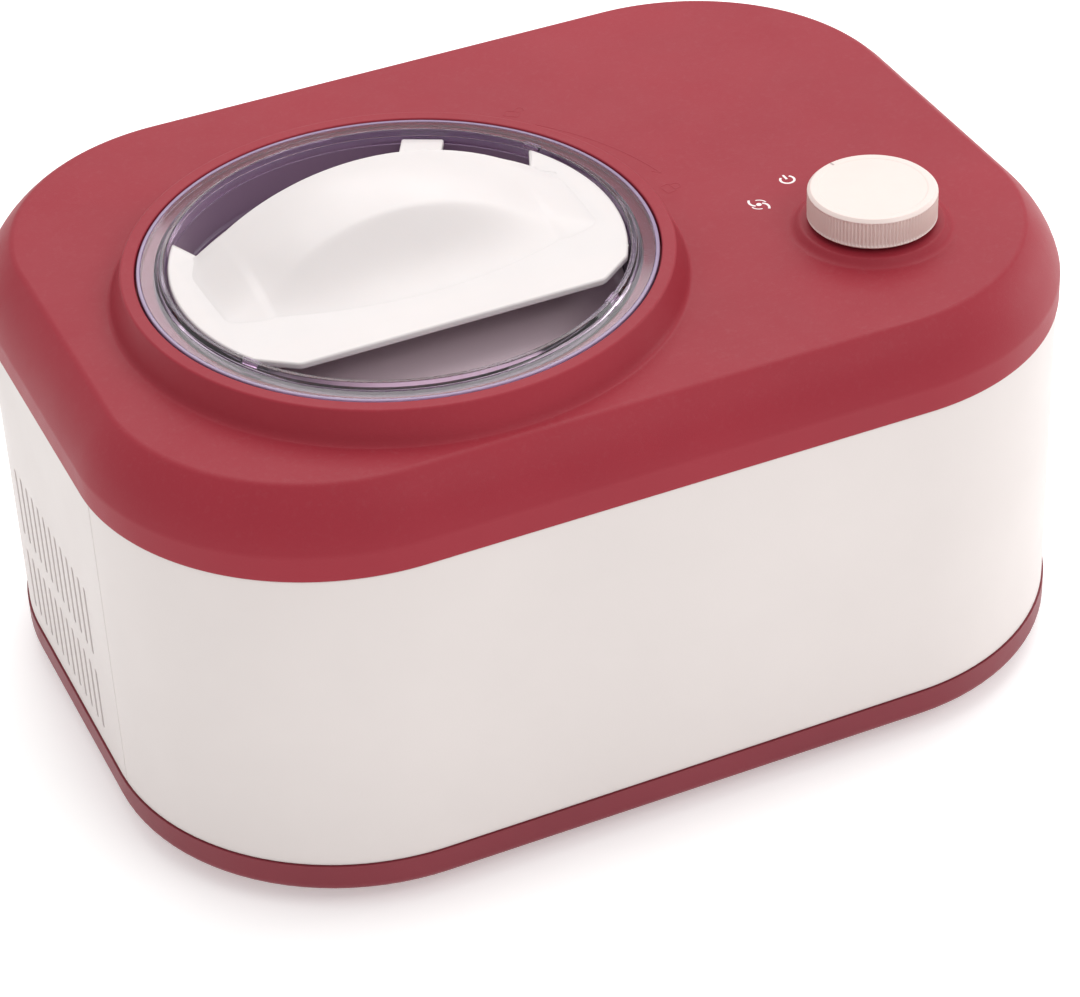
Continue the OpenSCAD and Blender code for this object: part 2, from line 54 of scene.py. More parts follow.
WINDOW_Z, DISH_Z, WINDOW_R = 181.0, 183.2, 85.95
PLATE_Z, GRIP_TOP, GRIP_HALF, GRIP_BACK_Y = 202.2, 224.5, 69.0, 31.5
KNOB, KNOB_R, KNOB_FOOT_Z, KNOB_TOP_Z = (120.0, -70.0), 25.2, 193.6, 206.45
PANEL_INSET, SKIN, VENT_PITCH = 0.8, 2.5, 7.25
POWER_MARK, CHURN_MARK, MARK_RISE = (107.0, -24.5), (88.5, -36.0), 0.10
HALF_X = BODY_L / 2 - CORNER_R
HALF_Y = BODY_W / 2 - CORNER_R
CORNER_ARC = CORNER_R * math.pi / 2
PERIMETER = 4 * (HALF_X + HALF_Y + CORNER_ARC)


# ---- procedural materials ----

def tree_of(name):
    """A new node material: itself, its node tree and its main shader."""
    mat = bpy.data.materials.new(name)
    mat.use_nodes = True
    nt = mat.node_tree
    bsdf = next(n for n in nt.nodes if n.type == "BSDF_PRINCIPLED")
    return mat, nt, bsdf


def add(nt, kind, **values):
    """A node with its inputs or settings given by name."""
    node = nt.nodes.new(kind)
    for key, value in values.items():
        if key in node.inputs:
            node.inputs[key].default_value = value
        else:
            setattr(node, key, value)
    return node


def coords(nt):
    return nt.nodes.new("ShaderNodeTexCoord").outputs["Object"]


def noise(nt, scale, detail=3.0, rough=0.5):
    node = add(nt, "ShaderNodeTexNoise", Scale=scale, Detail=detail, Roughness=rough)
    nt.links.new(coords(nt), node.inputs["Vector"])
    return node.outputs["Fac"]


def spread(nt, source, lo, hi, from_lo=0.3, from_hi=0.7):
    """Maps the middle of a noise's range to lo..hi."""
    node = add(nt, "ShaderNodeMapRange")
    for key, value in zip(("From Min", "From Max", "To Min", "To Max"), (from_lo, from_hi, lo, hi)):
        node.inputs[key].default_value = value
    nt.links.new(source, node.inputs["Value"])
    return node.outputs["Result"]


def mix(nt, factor, a, b):
    """Mixes two colours, each three numbers or a socket."""
    node = add(nt, "ShaderNodeMix", data_type="RGBA")
    for socket, colour in zip([i for i in node.inputs if i.type == "RGBA"], (a, b)):
        if isinstance(colour, tuple):
            socket.default_value = (*colour, 1)
        else:
            nt.links.new(colour, socket)
    nt.links.new(factor, node.inputs[0])
    return next(o for o in node.outputs if o.type == "RGBA")


def bump(nt, bsdf, height, strength, depth):
    node = add(nt, "ShaderNodeBump", Strength=strength, Distance=depth)
    nt.links.new(height, node.inputs["Height"])
    nt.links.new(node.outputs["Normal"], bsdf.inputs["Normal"])


def set_inputs(bsdf, values):
    for socket, value in values.items():
        bsdf.inputs[socket].default_value = value


def dusted(nt, tint, amount):
    """Pale specks over a colour, on faces that look up."""
    normal = nt.nodes.new("ShaderNodeNewGeometry").outputs["Normal"]
    split = nt.nodes.new("ShaderNodeSeparateXYZ")
    nt.links.new(normal, split.inputs[0])
    specks = spread(nt, noise(nt, 420.0, 5.0, 0.75), 0.0, amount, 0.52, 0.75)
    on_top = add(nt, "ShaderNodeMath", operation="MULTIPLY", use_clamp=True)
    nt.links.new(specks, on_top.inputs[0])
    nt.links.new(split.outputs["Z"], on_top.inputs[1])
    return mix(nt, on_top.outputs[0], tint, (0.72, 0.68, 0.67))


def surface(name, colour, rough, drift, uneven, grain, depth, blotch,
            metallic=0.0, coat=0.0, sss=0.0, specular=0.5, sheen=0.0, dust=0.0):
    """A solid finish: slow colour drift, fine grain bump and uneven polish, with dust where asked."""
    mat, nt, bsdf = tree_of(name)
    dark = tuple(c * (1 - drift) for c in colour)
    light = tuple(min(1.0, c * (1 + drift)) for c in colour)
    tint = mix(nt, spread(nt, noise(nt, blotch, 4.0, 0.6), 0, 1), dark, light)
    if dust:
        tint = dusted(nt, tint, dust)
    nt.links.new(tint, bsdf.inputs["Base Color"])
    worn = noise(nt, blotch * 3.1, 5.0, 0.65)
    nt.links.new(spread(nt, worn, rough - uneven, rough + uneven), bsdf.inputs["Roughness"])
    bump(nt, bsdf, noise(nt, grain, 2.0, 0.6), 1.0, depth)
    set_inputs(bsdf, {"Metallic": metallic, "IOR": 1.5, "Specular IOR Level": specular,
                      "Coat Weight": coat, "Coat Roughness": 0.15, "Sheen Weight": sheen})
    if sss:
        set_inputs(bsdf, {"Subsurface Weight": sss, "Subsurface Radius": (0.004, 0.0028, 0.0022),
                          "Subsurface Scale": 0.5})
    return mat


def brushed(name, colour, rough, depth=0.00001):
    """Metal with turning or brushing marks, squeezed along Z."""
    mat, nt, bsdf = tree_of(name)
    mapping = add(nt, "ShaderNodeMapping", Scale=(60.0, 60.0, 2600.0))
    nt.links.new(coords(nt), mapping.inputs["Vector"])
    lines = add(nt, "ShaderNodeTexNoise", Scale=1.0, Detail=4.0)
    nt.links.new(mapping.outputs["Vector"], lines.inputs["Vector"])
    tint = mix(nt, noise(nt, 22.0, 4.0), tuple(c * 0.86 for c in colour), colour)
    nt.links.new(tint, bsdf.inputs["Base Color"])
    nt.links.new(spread(nt, lines.outputs["Fac"], rough - 0.08, rough + 0.1), bsdf.inputs["Roughness"])
    bump(nt, bsdf, lines.outputs["Fac"], 0.7, depth)
    set_inputs(bsdf, {"Metallic": 1.0})
    return mat


def clear(name, tint_a, tint_b, rough, depth=0.000004, through=1.0):
    """Moulded clear plastic: a faint tint that drifts, flow ripples and tiny scuffs."""
    mat, nt, bsdf = tree_of(name)
    nt.links.new(mix(nt, noise(nt, 9.0, 3.0), tint_a, tint_b), bsdf.inputs["Base Color"])
    scuffs = spread(nt, noise(nt, 260.0, 6.0, 0.8), rough, rough + 0.05, 0.45, 0.8)
    nt.links.new(scuffs, bsdf.inputs["Roughness"])
    bump(nt, bsdf, noise(nt, 120.0, 2.0), 0.5, depth)
    set_inputs(bsdf, {"Transmission Weight": through, "IOR": 1.49, "Specular IOR Level": 0.5})
    return mat


# surface: name, colour, roughness, colour drift, polish drift, grain scale, grain depth, blotch scale
RED = surface("red_satin", (0.300, 0.023, 0.037), 0.46, 0.05, 0.05, 2300, 0.00005, 9.0,
              specular=0.20, dust=0.02)
RED_BASE = surface("red_satin_base", (0.20, 0.022, 0.034), 0.44, 0.06, 0.05, 2300, 0.00004, 12.0,
                   specular=0.3)
CREAM = surface("cream_satin", (0.675, 0.618, 0.600), 0.44, 0.025, 0.06, 1700, 0.000025, 8.0)
GLOSS = surface("cream_gloss", (0.70, 0.655, 0.65), 0.34, 0.02, 0.05, 900, 0.000012, 20.0, sss=0.06)
KNOB_MAT = surface("knob_cream", (0.78, 0.66, 0.62), 0.38, 0.03, 0.06, 1100, 0.000014, 30.0, sss=0.05)
# The pointer's grey is painted shade: it stands in for the shadow inside an engraved pointer groove, though
# the line itself is drawn slightly raised.
POINTER_GROOVE_SHADE = surface("pointer_painted_groove_shade", (0.46, 0.38, 0.37), 0.5, 0.08, 0.05, 1500, 0.00001, 90.0)
PRINT = surface("pale_print", (0.86, 0.78, 0.78), 0.5, 0.05, 0.05, 2500, 0.000006, 60.0)
RUBBER = surface("foot_rubber", (0.045, 0.045, 0.048), 0.72, 0.25, 0.08, 1400, 0.00006, 40.0, sheen=0.1)
SILICONE = surface("gasket_silicone", (0.20, 0.19, 0.22), 0.5, 0.10, 0.05, 700, 0.00002, 40.0)
ZINC = surface("zinc_plate", (0.62, 0.62, 0.60), 0.36, 0.12, 0.12, 500, 0.00002, 60.0, metallic=1.0)
PADDLE = surface("paddle_plastic", (0.78, 0.76, 0.74), 0.36, 0.03, 0.05, 800, 0.00001, 18.0, sss=0.08)
GEAR = surface("gear_acetal", (0.72, 0.71, 0.66), 0.38, 0.05, 0.06, 900, 0.00001, 40.0, sss=0.05)
BLACK = surface("black_plastic", (0.028, 0.028, 0.030), 0.45, 0.2, 0.08, 1500, 0.00004, 30.0)
COPPER = surface("copper_tube", (0.72, 0.34, 0.20), 0.30, 0.14, 0.1, 300, 0.00001, 45.0, metallic=1.0)
FOAM = surface("yellow_foam", (0.72, 0.60, 0.34), 0.85, 0.10, 0.05, 420, 0.00035, 30.0)
ENAMEL = surface("black_enamel", (0.018, 0.018, 0.020), 0.30, 0.25, 0.1, 260, 0.00004, 25.0, coat=0.3)
BOARD = surface("board_green", (0.03, 0.17, 0.07), 0.40, 0.15, 0.06, 600, 0.00002, 80.0, coat=0.2)
TERMINAL = surface("terminal_nylon", (0.70, 0.68, 0.60), 0.5, 0.06, 0.06, 900, 0.00003, 50.0)
STAINLESS = brushed("stainless", (0.55, 0.55, 0.56), 0.30)
ALUMINIUM = brushed("bowl_aluminium", (0.56, 0.56, 0.575), 0.36, depth=0.00003)
BRASS = brushed("pin_brass", (0.72, 0.52, 0.25), 0.3)
CLEAR = clear("lid_clear", (0.80, 0.64, 0.82), (0.86, 0.72, 0.87), 0.04, 0.0000015)
SMOKE = clear("lid_smoke", (0.155, 0.092, 0.165), (0.195, 0.118, 0.200), 0.12, through=0.2)
# The lid's outer edge ring is a darker, mostly opaque copy of the clear plastic. This is painted shade for
# the dark line round the lid's edge, and it also covers the bright edge glow.
EDGE_SHADE = clear("lid_edge_painted_shade", (0.36, 0.26, 0.42), (0.44, 0.32, 0.50), 0.10, through=0.3)
WINDOW = clear("lid_window", (0.66, 0.53, 0.585), (0.72, 0.58, 0.635), 0.10, through=0.05)

SLOT_MATERIALS = {
    "red_shell": RED_BASE, "cream_shell": CREAM, "cream_gloss": GLOSS, "rubber": RUBBER,
    "silicone": SILICONE, "zinc_steel": ZINC, "stainless": STAINLESS, "clear_plastic": CLEAR,
    "bowl_aluminium": ALUMINIUM, "paddle_plastic": PADDLE, "gear_plastic": GEAR, "brass": BRASS,
    "black_plastic": BLACK, "copper_tube": COPPER, "foam": FOAM, "black_paint": ENAMEL,
    "circuit_board": BOARD, "terminal_plastic": TERMINAL,
}
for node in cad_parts.values():
    used = node.data.materials[0].name.split(".")[0]
    node.data.materials[0] = SLOT_MATERIALS[used]


# ---- mesh helpers ----

def make_mesh(name, shape, material, body, stands_for=(), sharp=42.0, weld=True):
    """A piece from (vertices in mm, faces), riding on a body and standing for CAD nodes."""
    verts, faces = shape
    me = bpy.data.meshes.new(name)
    me.from_pydata([tuple(float(c) / 1000 for c in v) for v in verts], [], faces)
    bm = bmesh.new()
    bm.from_mesh(me)
    if weld:
        bmesh.ops.remove_doubles(bm, verts=bm.verts, dist=2e-6)
    bmesh.ops.recalc_face_normals(bm, faces=bm.faces)
    bm.to_mesh(me)
    bm.free()
    me.polygons.foreach_set("use_smooth", [True] * len(me.polygons))
    me.set_sharp_from_angle(angle=math.radians(sharp))
    me.materials.append(material)
    obj = bpy.data.objects.new(name, me)
    bpy.context.scene.collection.objects.link(obj)
    weighted = obj.modifiers.new("even shading", "WEIGHTED_NORMAL")
    weighted.keep_sharp = True
    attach(obj, body)
    if stands_for:
        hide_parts(*stands_for)


def loft(rings, closed=True, caps=False):
    """Quads between rings of equally many points; caps close the first and last ring."""
    n = len(rings[0])
    verts = [tuple(p) for ring in rings for p in ring]
    faces = []
    for j in range(len(rings) - 1):
        for i in range(n if closed else n - 1):
            k = (i + 1) % n
            faces.append((j * n + i, j * n + k, (j + 1) * n + k, (j + 1) * n + i))
    for first in (0, (len(rings) - 1) * n) if caps else ():
        edge = [Vector(p) for p in verts[first:first + n]]
        faces += [tuple(first + i for i in tri) for tri in tessellate_polygon([edge])]
    return verts, faces


def joined(*parts):
    """Several (vertices, faces) shapes as one."""
    verts, faces = [], []
    for v, f in parts:
        shift = len(verts)
        verts += list(v)
        faces += [tuple(i + shift for i in face) for face in f]
    return verts, faces


def fillet(points, radii, steps=6, closed=False):
    """Rounds the corners of a plan or section polyline."""
    pts = [np.array(p, float) for p in points]
    n = len(pts)
    out = []
    for i, p in enumerate(pts):
        r = radii[i] if isinstance(radii, (list, tuple)) else radii
        if r == 0 or (not closed and i in (0, n - 1)):
            out.append(p)
            continue
        a, b = pts[i - 1] - p, pts[(i + 1) % n] - p
        la, lb = np.linalg.norm(a), np.linalg.norm(b)
        u, v = a / la, b / lb
        half = math.acos(max(-1.0, min(1.0, float(u @ v)))) / 2
        if half > math.pi / 2 - 0.01:
            out.append(p)
            continue
        tangent = min(r / math.tan(half), 0.48 * la, 0.48 * lb)
        r = tangent * math.tan(half)
        middle = p + (u + v) / np.linalg.norm(u + v) * (r / math.sin(half))
        start, end = p + u * tangent - middle, p + v * tangent - middle
        a0, a1 = math.atan2(start[1], start[0]), math.atan2(end[1], end[0])
        turn = (a1 - a0 + math.pi) % (2 * math.pi) - math.pi
        for s in range(steps + 1):
            a = a0 + turn * s / steps
            out.append(middle + r * np.array([math.cos(a), math.sin(a)]))
    return out


def turned(profile, centre, n=192, shut=False):
    """A lathe surface from (radius, height) points; shut joins the last point to the first."""
    rings = []
    for r, z in [*profile, profile[0]] if shut else profile:
        r = max(r, 0.0005)
        rings.append([(centre[0] + r * math.cos(2 * math.pi * i / n),
                       centre[1] + r * math.sin(2 * math.pi * i / n), z) for i in range(n)])
    return loft(rings)


def prism(outline, z0, z1, edge):
    """An upright plate from a closed plan, its top and bottom edges rounded."""
    pts = np.array([tuple(p) for p in outline])
    ahead = np.roll(pts, -1, 0)
    t = ahead - np.roll(pts, 1, 0)
    normal = np.stack([t[:, 1], -t[:, 0]], 1) / np.linalg.norm(t, axis=1, keepdims=True)
    if np.sum(pts[:, 0] * ahead[:, 1] - ahead[:, 0] * pts[:, 1]) < 0:
        normal = -normal
    angles = np.linspace(0, math.pi / 2, 6)
    section = [(edge * (1 - math.sin(a)), z0 + edge * (1 - math.cos(a))) for a in angles]
    section += [(edge * (1 - math.cos(a)), z1 - edge * (1 - math.sin(a))) for a in angles]
    return loft([[(x, y, z) for x, y in pts - normal * inset] for inset, z in section], caps=True)


def stroke(path, width, z, rise, closed=False):
    """A thin raised line along a plan path, with sloping sides."""
    pts = np.array([tuple(p) for p in path])
    t = np.roll(pts, -1, 0) - np.roll(pts, 1, 0) if closed else np.gradient(pts, axis=0)
    side = np.stack([-t[:, 1], t[:, 0]], 1) / np.linalg.norm(t, axis=1, keepdims=True)
    flank = [(0.5, -0.3), (0.5, 0.35), (0.38, 0.85), (0.22, 1.0)]
    section = flank + [(-w, h) for w, h in reversed(flank)]
    lines = [[(x, y, z + rise * h) for x, y in pts + side * width * w] for w, h in section]
    rings = list(zip(*lines))
    return loft(rings + rings[:1] if closed else rings, caps=not closed)


def arc(centre, r, a0, a1, n=24):
    """Plan points on an arc, angles in degrees."""
    angles = [math.radians(a0 + (a1 - a0) * i / n) for i in range(n + 1)]
    return [(centre[0] + r * math.cos(a), centre[1] + r * math.sin(a)) for a in angles]


def placed(points, centre, degrees=0.0):
    """Plan points turned about the origin, then moved to a centre."""
    c, s = math.cos(math.radians(degrees)), math.sin(math.radians(degrees))
    return [(centre[0] + x * c - y * s, centre[1] + x * s + y * c) for x, y in points]


def soft_max(a, b, k):
    """The larger of two heights, blended where they differ by less than k."""
    h = np.maximum(k - np.abs(a - b), 0) / k
    return np.maximum(a, b) + h * h * k / 4


def soft_min(a, b, k):
    return -soft_max(-a, -b, k)


# ---- the body's plan ----

def plan(s, inset=0.0):
    """Point at arc length s round the body, anticlockwise from the middle of the right side."""
    s = (s - HALF_Y) % PERIMETER
    for k, (side_x, side_y) in enumerate(((1, 1), (-1, 1), (-1, -1), (1, -1))):
        span = CORNER_ARC + 2 * (HALF_Y if k % 2 else HALF_X)
        if s <= span + 1e-9:
            break
        s -= span
    a = math.radians(90 * k) + min(s, CORNER_ARC) / CORNER_R
    straight = max(0.0, s - CORNER_ARC)
    r = CORNER_R - inset
    return (side_x * HALF_X + r * math.cos(a) - straight * math.sin(a),
            side_y * HALF_Y + r * math.sin(a) + straight * math.cos(a))


def inside_by(x, y):
    """Distance from (x, y) in to the body's outer plan; negative outside it."""
    qx, qy = np.abs(x) - HALF_X, np.abs(y) - HALF_Y
    out = np.hypot(np.maximum(qx, 0), np.maximum(qy, 0)) + np.minimum(np.maximum(qx, qy), 0)
    return CORNER_R - out


def plan_distance(ux, uy):
    """Distance from the well's centre to the body's plan in each direction, by halving."""
    lo, hi = np.full(ux.shape, 50.0), np.full(ux.shape, 420.0)
    for _ in range(46):
        mid = (lo + hi) / 2
        inner = inside_by(WELL[0] + mid * ux, WELL[1] + mid * uy) > 0
        lo, hi = np.where(inner, mid, lo), np.where(inner, hi, mid)
    return lo


# ---- red cover ----

def shoulder_section():
    """The cover's edge as (distance in from the plan, height): upright lip, bowed shoulder, deck."""
    lip_crease, deck_crease = 7.0, 14.0
    slope = np.radians(np.linspace(76, 37, 9))
    run, rise = np.sin(slope[0]) - np.sin(slope), np.cos(slope) - np.cos(slope[0])
    bow = zip(run / run[-1] * SHOULDER_IN, LIP_Z + rise / rise[-1] * (DECK_Z - LIP_Z))
    section = fillet([(0, SEAM_Z), *bow, (40, DECK_Z)], [0, lip_crease, *[0] * 7, deck_crease, 0], 9)
    start = max(i for i, p in enumerate(section) if p[0] < 1e-6)
    return np.array([tuple(p) for p in section[start:]])


SHOULDER = shoulder_section()


def cover_height(x, y):
    """Top of the red cover: flat deck, bowed shoulder and the collar's sloping foot."""
    deck = np.interp(inside_by(x, y), SHOULDER[:, 0], SHOULDER[:, 1])
    r = np.hypot(x - WELL[0], y - WELL[1])
    slope = COLLAR_Z - (r - COLLAR_R) * (COLLAR_Z - DECK_Z) / (COLLAR_FOOT_R - COLLAR_R)
    return soft_max(deck, slope, 3.0)


def top_cover():
    """Rings from the well's throat out over the collar, deck and shoulder, then down to the seam."""
    n = 900
    theta = np.arange(n) * 2 * math.pi / n
    ux, uy = np.cos(theta), np.sin(theta)
    throat_r, throat_z, ledge_z, recess_r = 93, 178, 196.5, 100.1
    section = fillet([(throat_r + 3.5, throat_z + 3), (throat_r + 3.5, throat_z), (throat_r, throat_z),
                      (throat_r, ledge_z), (recess_r, ledge_z), (recess_r, COLLAR_Z), (COLLAR_R, COLLAR_Z),
                      (COLLAR_FOOT_R, DECK_Z)], [0, 0.5, 0.5, 0.6, 0.3, 0.7, 1.2, 0])
    rings = [[(WELL[0] + r * a, WELL[1] + r * b, z) for a, b in zip(ux, uy)] for r, z in section[:-1]]
    first = section[-2][0]
    far = plan_distance(ux, uy)
    px, py = WELL[0] + far * ux, WELL[1] + far * uy
    nx, ny = px - np.clip(px, -HALF_X, HALF_X), py - np.clip(py, -HALF_Y, HALF_Y)
    size = np.hypot(nx, ny)
    nx, ny = nx / size, ny / size
    facing = np.maximum(nx * ux + ny * uy, 0.5)
    # steps out from the collar's top edge, closest together at its foot
    near_steps = [0.7, 1.4, 2.1, 2.7, 3.2, 3.6, 3.9, 4.2, 4.5, 4.8, 5.1, 5.5, 6.0, 6.8, 8.0, 9.5]
    edge_steps = SHOULDER[-2::-1, 0]
    shrink = np.minimum(1.0, (far - first) / (near_steps[-1] + 3 + edge_steps[0] / facing))
    near = [first + d * shrink for d in near_steps]
    edge = [far - d / facing * shrink for d in edge_steps]
    between = [near[-1] * (1 - k / 12) + edge[0] * k / 12 for k in range(1, 12)]
    for r in near + between + edge[:-1]:
        x, y = WELL[0] + r * ux, WELL[1] + r * uy
        rings.append(list(zip(x, y, cover_height(x, y))))
    for inset, rise in ((0, SHOULDER[0, 1] - SEAM_Z), (0, 2), (0, 0.9), (0.1, 0.3), (0.5, 0), (2.4, 0),
                        (SKIN, 0.2), (SKIN, 6)):
        rings.append(list(zip(px - nx * inset, py - ny * inset, np.full(n, SEAM_Z + rise))))
    make_mesh("cover_shell", loft(rings), RED, "housing", ["top_cover"])


# ---- wall panels ----

def slot_loop(c, w, z_lo, z_hi):
    """Outline of a round-ended slot from its lower left tangent point, matching a cell's border."""
    ends, sides = 6, 10
    z_lo, z_hi = z_lo + w, z_hi - w
    turns = [math.pi * i / ends for i in range(ends)]
    climbs = [(z_hi - z_lo) * i / sides for i in range(sides)]
    pts = [(c - w * math.cos(a), z_lo - w * math.sin(a)) for a in turns]
    pts += [(c + w, z_lo + up) for up in climbs]
    pts += [(c + w * math.cos(a), z_hi + w * math.sin(a)) for a in turns]
    pts += [(c - w, z_hi - up) for up in climbs]
    return pts


def cell_border(s_lines, z_lines):
    """The border of a block of grid cells, anticlockwise from its lower left corner."""
    loop = [(s, z_lines[0]) for s in s_lines[:-1]]
    loop += [(s_lines[-1], z) for z in z_lines[:-1]]
    loop += [(s, z_lines[-1]) for s in reversed(s_lines[1:])]
    loop += [(s_lines[0], z) for z in reversed(z_lines[1:])]
    return loop


def filled_in(lines, step):
    """Sorted grid lines, with more between them wherever a gap is wider than a step."""
    lines = sorted(lines)
    out = []
    for a, b in zip(lines, lines[1:]):
        count = max(1, math.ceil((b - a) / step))
        out += [a + (b - a) * i / count for i in range(count)]
    return out + lines[-1:]


def panel(name, s0, s1, holes, stands_for):
    """A wall panel in (arc length, height); holes are (s lines, z lines, outline at a growth)."""
    z0, z1, edge = WALL_Z + 0.1, SEAM_Z - 0.1, 0.5
    s_lines, z_lines = {s0 + edge, s1 - edge}, {z0 + edge, z1 - edge}
    for s_cell, z_cell, _ in holes:
        s_lines |= set(s_cell)
        z_lines |= set(z_cell)
    s_lines, z_lines = filled_in(s_lines, 5), filled_in(z_lines, 16)

    def place(s, z, depth):
        x, y = plan(s, PANEL_INSET + depth)
        return x, y, z

    def taken(s, z):
        return any(sc[0] < s < sc[-1] and zc[0] < z < zc[-1] for sc, zc, _ in holes)

    verts, faces = [], []
    for a, b in zip(s_lines, s_lines[1:]):
        for c, d in zip(z_lines, z_lines[1:]):
            if taken((a + b) / 2, (c + d) / 2):
                continue
            k = len(verts)
            verts += [place(a, c, 0), place(b, c, 0), place(b, d, 0), place(a, d, 0)]
            faces.append((k, k + 1, k + 2, k + 3))
    parts = [(verts, faces)]
    for s_cell, z_cell, outline in holes:
        rings = [[place(s, z, 0) for s, z in cell_border(s_cell, z_cell)]]
        for grow, depth in ((0.35, 0), (0.2, 0.05), (0.06, 0.17), (0, 0.4), (0, SKIN)):
            rings.append([place(s, z, depth) for s, z in outline(grow)])
        parts.append(loft(rings))

    def outward(value, lo, hi):
        return (value > hi - edge - 1e-6) - (value < lo + edge + 1e-6)

    rings = []
    for grow, depth in ((0, 0), (0.2, 0.05), (0.42, 0.2), (edge, 0.5), (edge, SKIN), (-4, SKIN)):
        rings.append([place(s + grow * outward(s, s0, s1), z + grow * outward(z, z0, z1), depth)
                      for s, z in cell_border(s_lines, z_lines)])
    parts.append(loft(rings))
    make_mesh(name, joined(*parts), CREAM, "housing", [stands_for])


def vent_slots(c):
    """The lower and upper slot of one column of the vent grille."""
    s_cell = [c + VENT_PITCH * (i / 6 - 0.5) for i in range(7)]
    slots = []
    for z_lo, z_hi in ((30.5, 59.5), (67.5, 99.5)):
        z_cell = [z_lo - 2.4 + (z_hi - z_lo + 4.8) * i / 10 for i in range(11)]
        slots.append((s_cell, z_cell, lambda g, lo=z_lo, hi=z_hi: slot_loop(c, 1.2 + g, lo - g, hi + g)))
    return slots


def gland_hole(s, z=40.0, r=7.0, cell=24.0):
    """The cord gland's round hole in the rear panel, in a square cell."""
    lines = [cell * (i / 8 - 0.5) for i in range(9)]
    turns = [math.radians(225) + 2 * math.pi * i / 32 for i in range(32)]
    return ([s + d for d in lines], [z + d for d in lines],
            lambda g: [(s + (r + g) * math.cos(a), z + (r + g) * math.sin(a)) for a in turns])


def split_at(y):
    """Arc length on the right side where the wall reaches this Y."""
    return math.copysign(HALF_Y + CORNER_R * math.asin((abs(y) - HALF_Y) / CORNER_R), y)


def walls():
    """Two end panels with vents, which reach round the corners, and the plain panels between them."""
    gap = 0.15
    back, front = split_at(84.0), split_at(-58.0)
    half = PERIMETER / 2
    columns = [-33 + VENT_PITCH * i for i in range(13)]
    right = [h for y in columns for h in vent_slots(y)]
    left = [h for y in reversed(columns) for h in vent_slots(half - y)]
    gland = gland_hole(HALF_Y + CORNER_ARC + HALF_X - 88)
    panel("side_panel_right", front + gap, back - gap, right, "right_vent_panel")
    panel("side_panel_left", half - back + gap, half - front - gap, left, "left_vent_panel")
    panel("back_panel", back + gap, half - back - gap, [gland], "rear_panel")
    panel("front_wall", half - front + gap, PERIMETER + front - gap, [], "front_panel")


# ---- lid ----

def clear_lid():
    """The clear moulding as four rings: glassy rim, outer edge darkened with painted shade, smoky wall and
    pale window.
    """
    edge_r = 97.75
    rim = fillet([(90.3, LID_UNDER_Z), (edge_r, LID_UNDER_Z), (edge_r, LID_RIM_Z), (92.4, LID_RIM_Z),
                  (91.3, 201.7), (90.5, RING_Z), (88.6, RING_Z), (88.35, LID_UNDER_Z)],
                 [0.4, 0.1, 0.1, 0.6, 0.6, 0.7, 0.6, 0.4], 5, closed=True)
    make_mesh("lid_rim", turned(rim, WELL, 288, shut=True), CLEAR, "lid", ["clear_lid"])
    edge = fillet([(edge_r + 0.05, LID_UNDER_Z), (99.35, LID_UNDER_Z), (99.35, LID_RIM_Z + 0.25),
                   (edge_r + 0.05, LID_RIM_Z + 0.25)], [0.3, 0.3, 0.5, 0.4], 5, closed=True)
    # Outer edge ring in the darker painted-shade purple.
    make_mesh("lid_edge", turned(edge, WELL, 288, shut=True), EDGE_SHADE, "lid", ["clear_lid"])
    wall = fillet([(86.0, WINDOW_Z - 0.1), (88.8, WINDOW_Z - 0.1), (89.9, 182.2), (89.9, LID_UNDER_Z - 0.1),
                   (88.35, LID_UNDER_Z - 0.1), (87.55, 184.6), (86.2, DISH_Z)],
                  [0, 0.6, 0.6, 0.3, 0.3, 1.2, 0], 6)
    make_mesh("lid_wall", turned(wall, WELL, 256, shut=True), SMOKE, "lid", ["clear_lid"])
    disc = fillet([(0, WINDOW_Z), (WINDOW_R, WINDOW_Z), (WINDOW_R, DISH_Z), (0, DISH_Z)], [0, 0.3, 0.3, 0])
    make_mesh("lid_window", turned(disc, WELL), WINDOW, "lid", ["clear_lid"])
    nub_r = 90.6
    nub = fillet([(-4.5, nub_r), (4.5, nub_r), (3.6, nub_r - 2.6), (-3.6, nub_r - 2.6)], 0.8, closed=True)
    for i, angle in enumerate((-149.0, -50.0, 31.0)):
        shape = prism(placed(nub, WELL, angle - 90), RING_Z - 2, RING_Z - 0.2, 0.5)
        make_mesh(f"lid_nub_{i}", shape, CLEAR, "lid")


def plate_outline():
    """The handle's plate: the lid's circle cut by a short front edge and a longer back edge."""
    plate_r, count = 87.4, 30
    side = arc((0, 0), plate_r, -30.4, 31.2, count - 1)
    corners = [(-61, -55), (61, -55), *side, (GRIP_HALF, GRIP_BACK_Y), (-GRIP_HALF, GRIP_BACK_Y)]
    corners += [(-x, y) for x, y in reversed(side)]
    plain = [0.0] * (count - 2)
    return fillet(corners, [5, 5, 1.5, *plain, 1.5, 2.0, 2.0, 1.5, *plain, 1.5], 6, closed=True)


def grip_back(x):
    """The grip's back edge bows out in plan."""
    return GRIP_BACK_Y + 6.5 * (1 - (x / GRIP_HALF) ** 2)


